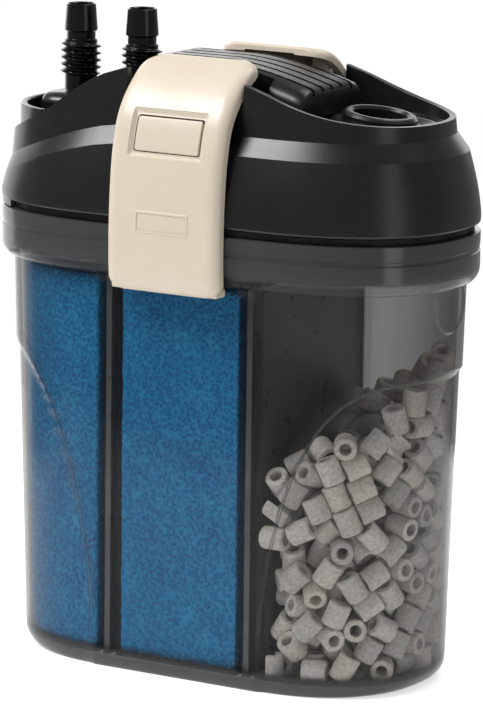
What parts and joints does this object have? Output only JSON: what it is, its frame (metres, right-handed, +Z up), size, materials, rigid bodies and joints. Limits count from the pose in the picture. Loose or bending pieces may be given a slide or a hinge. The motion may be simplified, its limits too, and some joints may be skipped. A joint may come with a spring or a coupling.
{
  "type": "canister filter",
  "caption": "Small external aquarium canister filter: smoke-clear canister with sponge and ceramic media, clip-down pump head, twin hose barbs.",
  "frame": {"origin": "centre of the canister base, on the surface that it stands on", "axes": "+Z up, +X along the length towards the cable well (the hose barbs are towards -X), -Y towards the front clip"},
  "size_m": [0.1814, 0.1026, 0.2315],
  "materials": {
    "smoke_plastic": "transparent smoke-grey moulding",
    "black_plastic": "black moulding with a fine satin grain",
    "gloss_black": "polished black moulding",
    "cream_plastic": "cream moulding, low sheen",
    "blue_foam": "open-cell blue filter foam",
    "ceramic": "porous fired ceramic",
    "black_rubber": "moulded rubber",
    "lamination_steel": "plain steel",
    "copper_winding": "enamelled copper wire",
    "ferrite": "sintered ferrite",
    "shaft_ceramic": "polished white ceramic and nylon"
  },
  "bodies": {
    "canister": {"canister": "smoke_plastic", "divider_left": "black_plastic", "divider_right": "black_plastic", "sponge_left": "blue_foam", "sponge_middle": "blue_foam", "ceramic_media": "ceramic"},
    "head": {"head_shell": "black_plastic", "head_base": "black_plastic", "head_gasket": "black_rubber", "motor_cover": "black_plastic", "stator_core": "lamination_steel", "coil_front": "copper_winding", "coil_back": "copper_winding", "rotor_shaft": "shaft_ceramic", "top_bush": "black_rubber", "bottom_bush": "black_rubber", "impeller_cover": "black_plastic", "intake_strainer": "black_plastic", "cable_gland": "black_rubber", "hose_manifold": "black_plastic", "manifold_pin": "gloss_black", "inlet_barb": "gloss_black", "outlet_barb": "gloss_black", "inlet_seal": "black_rubber", "outlet_seal": "black_rubber", "front_clip_pin": "shaft_ceramic", "back_clip_pin": "shaft_ceramic", "head_screw_1": "lamination_steel", "head_screw_2": "lamination_steel", "head_screw_3": "lamination_steel", "head_screw_4": "lamination_steel"},
    "front_clip": {"front_clip": "cream_plastic"},
    "front_tongue": {"front_tongue": "cream_plastic"},
    "back_clip": {"back_clip": "cream_plastic"},
    "back_tongue": {"back_tongue": "cream_plastic"},
    "rotor": {"rotor_magnet": "ferrite", "impeller": "gloss_black"}
  },
  "joints": [
    {"name": "head_lift", "type": "slide", "parent": "canister", "child": "head", "axis": [0, 0, 1], "range_m": [0, 0.07]},
    {"name": "front_clip_swing", "type": "hinge", "parent": "head", "child": "front_clip", "pos_m": [0, -0.03, 0.2105], "axis": [-1, 0, 0], "range_deg": [0, 71]},
    {"name": "back_clip_swing", "type": "hinge", "parent": "head", "child": "back_clip", "pos_m": [0, 0.03, 0.2105], "axis": [1, 0, 0], "range_deg": [0, 71]},
    {"name": "front_tongue_press", "type": "hinge", "parent": "front_clip", "child": "front_tongue", "pos_m": [0, -0.0478, 0.189], "axis": [-1, 0, 0], "range_deg": [0, 8], "stiffness_Nm_per_rad": 0.2},
    {"name": "back_tongue_press", "type": "hinge", "parent": "back_clip", "child": "back_tongue", "pos_m": [0, 0.0478, 0.189], "axis": [1, 0, 0], "range_deg": [0, 8], "stiffness_Nm_per_rad": 0.2},
    {"name": "impeller_spin", "type": "hinge", "parent": "head", "child": "rotor", "pos_m": [0, 0, 0.16], "axis": [0, 0, 1], "continuous": true}
  ],
  "couplings": [
    {"joint": "front_clip_swing", "follows": "head_lift", "rad_per_m": 17.453},
    {"joint": "back_clip_swing", "follows": "head_lift", "rad_per_m": 17.453}
  ]
}
